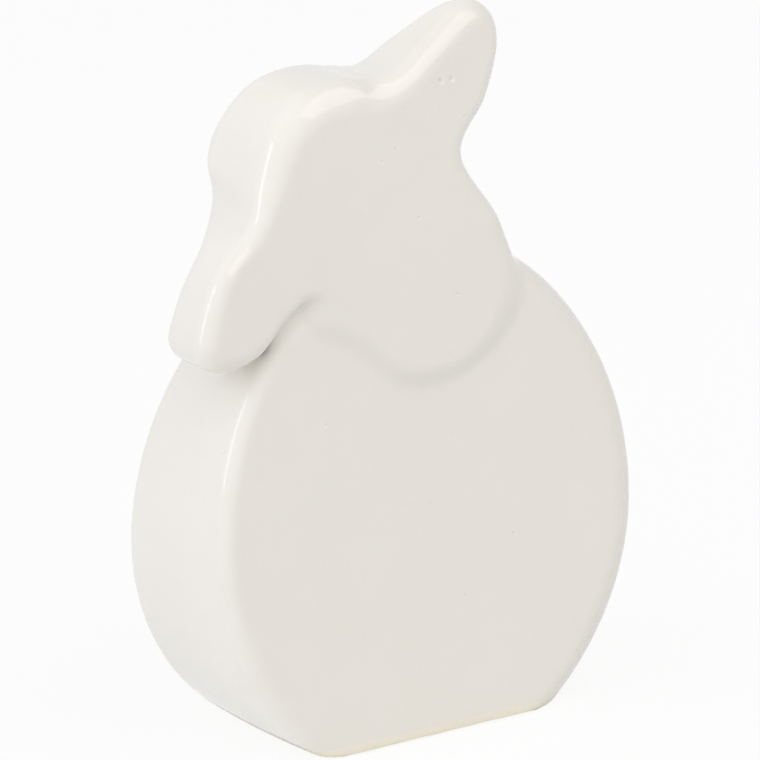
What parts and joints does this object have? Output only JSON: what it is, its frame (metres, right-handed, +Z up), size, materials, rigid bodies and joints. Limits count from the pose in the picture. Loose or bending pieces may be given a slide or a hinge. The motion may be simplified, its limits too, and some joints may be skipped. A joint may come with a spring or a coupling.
{
  "type": "ceramic lamb figurine",
  "caption": "White glazed ceramic lamb ornament: upright egg-shaped hollow body on a flat foot, with the head and raised ear in low relief. Stands on a shelf.",
  "frame": {"origin": "on the table under the middle of the foot, which is the middle of the bounding box's base", "axes": "+Z up through the figure, -X towards the muzzle, -Y out of the front face that the picture shows"},
  "size_m": [0.1049, 0.0478, 0.1502],
  "materials": {
    "glaze": "glossy warm white glaze with a few pinholes",
    "bare_clay": "matt unglazed tan clay"
  },
  "bodies": {
    "root": {"body_shell": "glaze", "head_shell": "glaze", "ear": "glaze", "neck_slip_seam": "glaze", "ear_slip_seam": "glaze", "foot_plate": "bare_clay", "foot_slip_seam": "bare_clay"}
  },
  "joints": []
}
